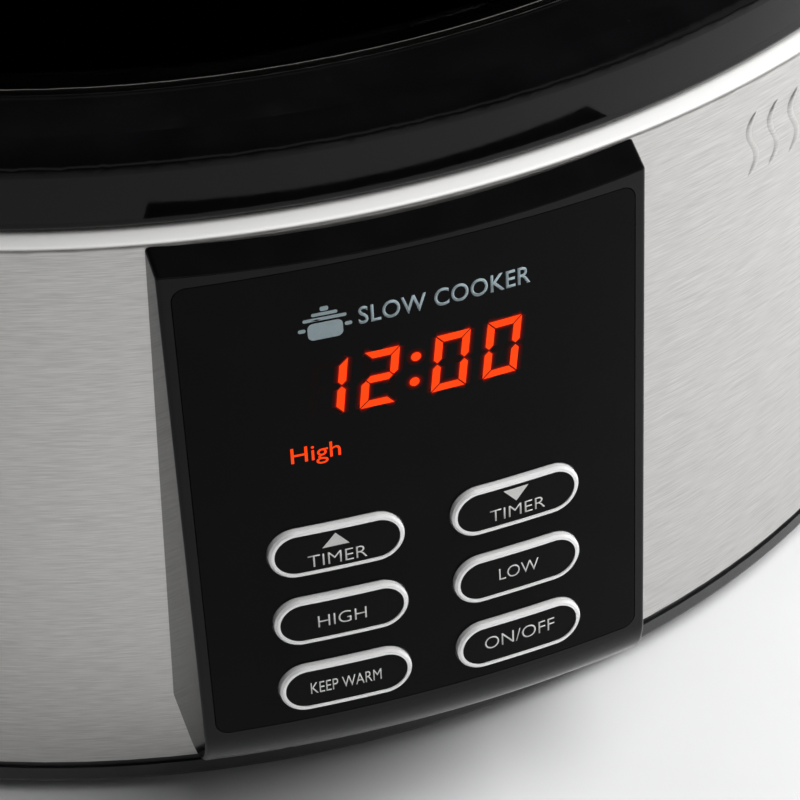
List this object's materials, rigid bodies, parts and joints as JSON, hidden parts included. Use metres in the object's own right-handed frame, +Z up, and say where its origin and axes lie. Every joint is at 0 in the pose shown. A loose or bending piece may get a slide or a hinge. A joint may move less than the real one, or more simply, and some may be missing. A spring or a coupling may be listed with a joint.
{
  "type": "slow cooker",
  "caption": "Oval countertop slow cooker with brushed-steel heating base, sloping control pod with keys and display, lift-out glazed crock and glass lid.",
  "frame": {"origin": "centre of the bounding box's footprint, on the surface the feet stand on", "axes": "+Z up, the control pod faces -Y, +X to the right of someone facing the pod"},
  "size_m": [0.461, 0.3199, 0.26],
  "materials": {
    "foot_rubber": "matte moulded rubber",
    "plated_steel": "zinc-plated sheet",
    "black_plastic": "fine-textured black plastic",
    "screw_steel": "plated steel",
    "brushed_shell": "brushed stainless, grain running round the oval",
    "well_metal": "aluminised steel",
    "heater_foil": "foil-faced heating element",
    "glass_fibre": "needled glass-fibre felt",
    "fuse_ceramic": "unglazed ceramic",
    "white_plastic": "natural nylon",
    "circuit_board": "green solder-masked board",
    "blue_plastic": "relay case",
    "dark_iron": "varnished laminations",
    "yellow_plastic": "capacitor case",
    "wire_sleeve": "silicone sleeve",
    "gloss_panel": "gloss black, tinted where the display shows through",
    "gloss_pod": "gloss black moulding",
    "display_window": "dark red display face",
    "ribbon_grey": "grey ribbon",
    "black_glaze": "gloss black glaze on stoneware",
    "clear_glass": "clear tempered glass",
    "bright_band": "polished stainless",
    "knob_plastic": "satin black phenolic",
    "key_chrome": "bright plated rim",
    "key_black": "gloss black cap"
  },
  "bodies": {
    "base": {"rubber_feet": "foot_rubber", "base_plate": "plated_steel", "base_skirt": "black_plastic", "base_screws": "screw_steel", "outer_wrap": "brushed_shell", "heating_well": "well_metal", "heater_band": "heater_foil", "insulation_blanket": "glass_fibre", "heater_strap": "plated_steel", "thermal_fuse": "fuse_ceramic", "tie_bolt": "screw_steel", "tie_nut": "screw_steel", "sensor_cup": "well_metal", "sensor_spring": "screw_steel", "board_standoffs": "white_plastic", "power_board": "circuit_board", "relay": "blue_plastic", "transformer": "dark_iron", "capacitor": "yellow_plastic", "terminal_block": "white_plastic", "wire_harness": "wire_sleeve", "cord_gland": "black_plastic", "left_handle": "black_plastic", "right_handle": "black_plastic", "handle_screws": "screw_steel", "faceplate": "gloss_panel", "pod_frame": "gloss_pod", "pod_screws": "screw_steel", "control_board": "circuit_board", "display_module": "display_window", "key_switches": "black_plastic", "ribbon_cable": "ribbon_grey"},
    "crock": {"crock": "black_glaze"},
    "lid": {"lid_glass": "clear_glass", "lid_band": "bright_band", "lid_knob": "knob_plastic", "knob_washer": "bright_band", "knob_screw": "screw_steel", "vent_grommet": "bright_band"},
    "timer_up_key": {"timer_up_rim": "key_chrome", "timer_up_cap": "key_black"},
    "timer_down_key": {"timer_down_rim": "key_chrome", "timer_down_cap": "key_black"},
    "high_key": {"high_rim": "key_chrome", "high_cap": "key_black"},
    "low_key": {"low_rim": "key_chrome", "low_cap": "key_black"},
    "keep_warm_key": {"keep_warm_rim": "key_chrome", "keep_warm_cap": "key_black"},
    "on_off_key": {"on_off_rim": "key_chrome", "on_off_cap": "key_black"}
  },
  "joints": [
    {"name": "timer_up_press", "type": "slide", "parent": "base", "child": "timer_up_key", "axis": [0, 0.9869, -0.1616], "range_m": [0, 0.0008], "stiffness_N_per_m": 2000},
    {"name": "timer_down_press", "type": "slide", "parent": "base", "child": "timer_down_key", "axis": [0, 0.9869, -0.1616], "range_m": [0, 0.0008], "stiffness_N_per_m": 2000},
    {"name": "high_press", "type": "slide", "parent": "base", "child": "high_key", "axis": [0, 0.9869, -0.1616], "range_m": [0, 0.0008], "stiffness_N_per_m": 2000},
    {"name": "low_press", "type": "slide", "parent": "base", "child": "low_key", "axis": [0, 0.9869, -0.1616], "range_m": [0, 0.0008], "stiffness_N_per_m": 2000},
    {"name": "keep_warm_press", "type": "slide", "parent": "base", "child": "keep_warm_key", "axis": [0, 0.9869, -0.1616], "range_m": [0, 0.0008], "stiffness_N_per_m": 2000},
    {"name": "on_off_press", "type": "slide", "parent": "base", "child": "on_off_key", "axis": [0, 0.9869, -0.1616], "range_m": [0, 0.0008], "stiffness_N_per_m": 2000},
    {"name": "crock_lift", "type": "slide", "parent": "base", "child": "crock", "axis": [0, 0, 1], "range_m": [0, 0.2]},
    {"name": "lid_lift", "type": "slide", "parent": "crock", "child": "lid", "axis": [0, 0, 1], "range_m": [0, 0.1]}
  ]
}
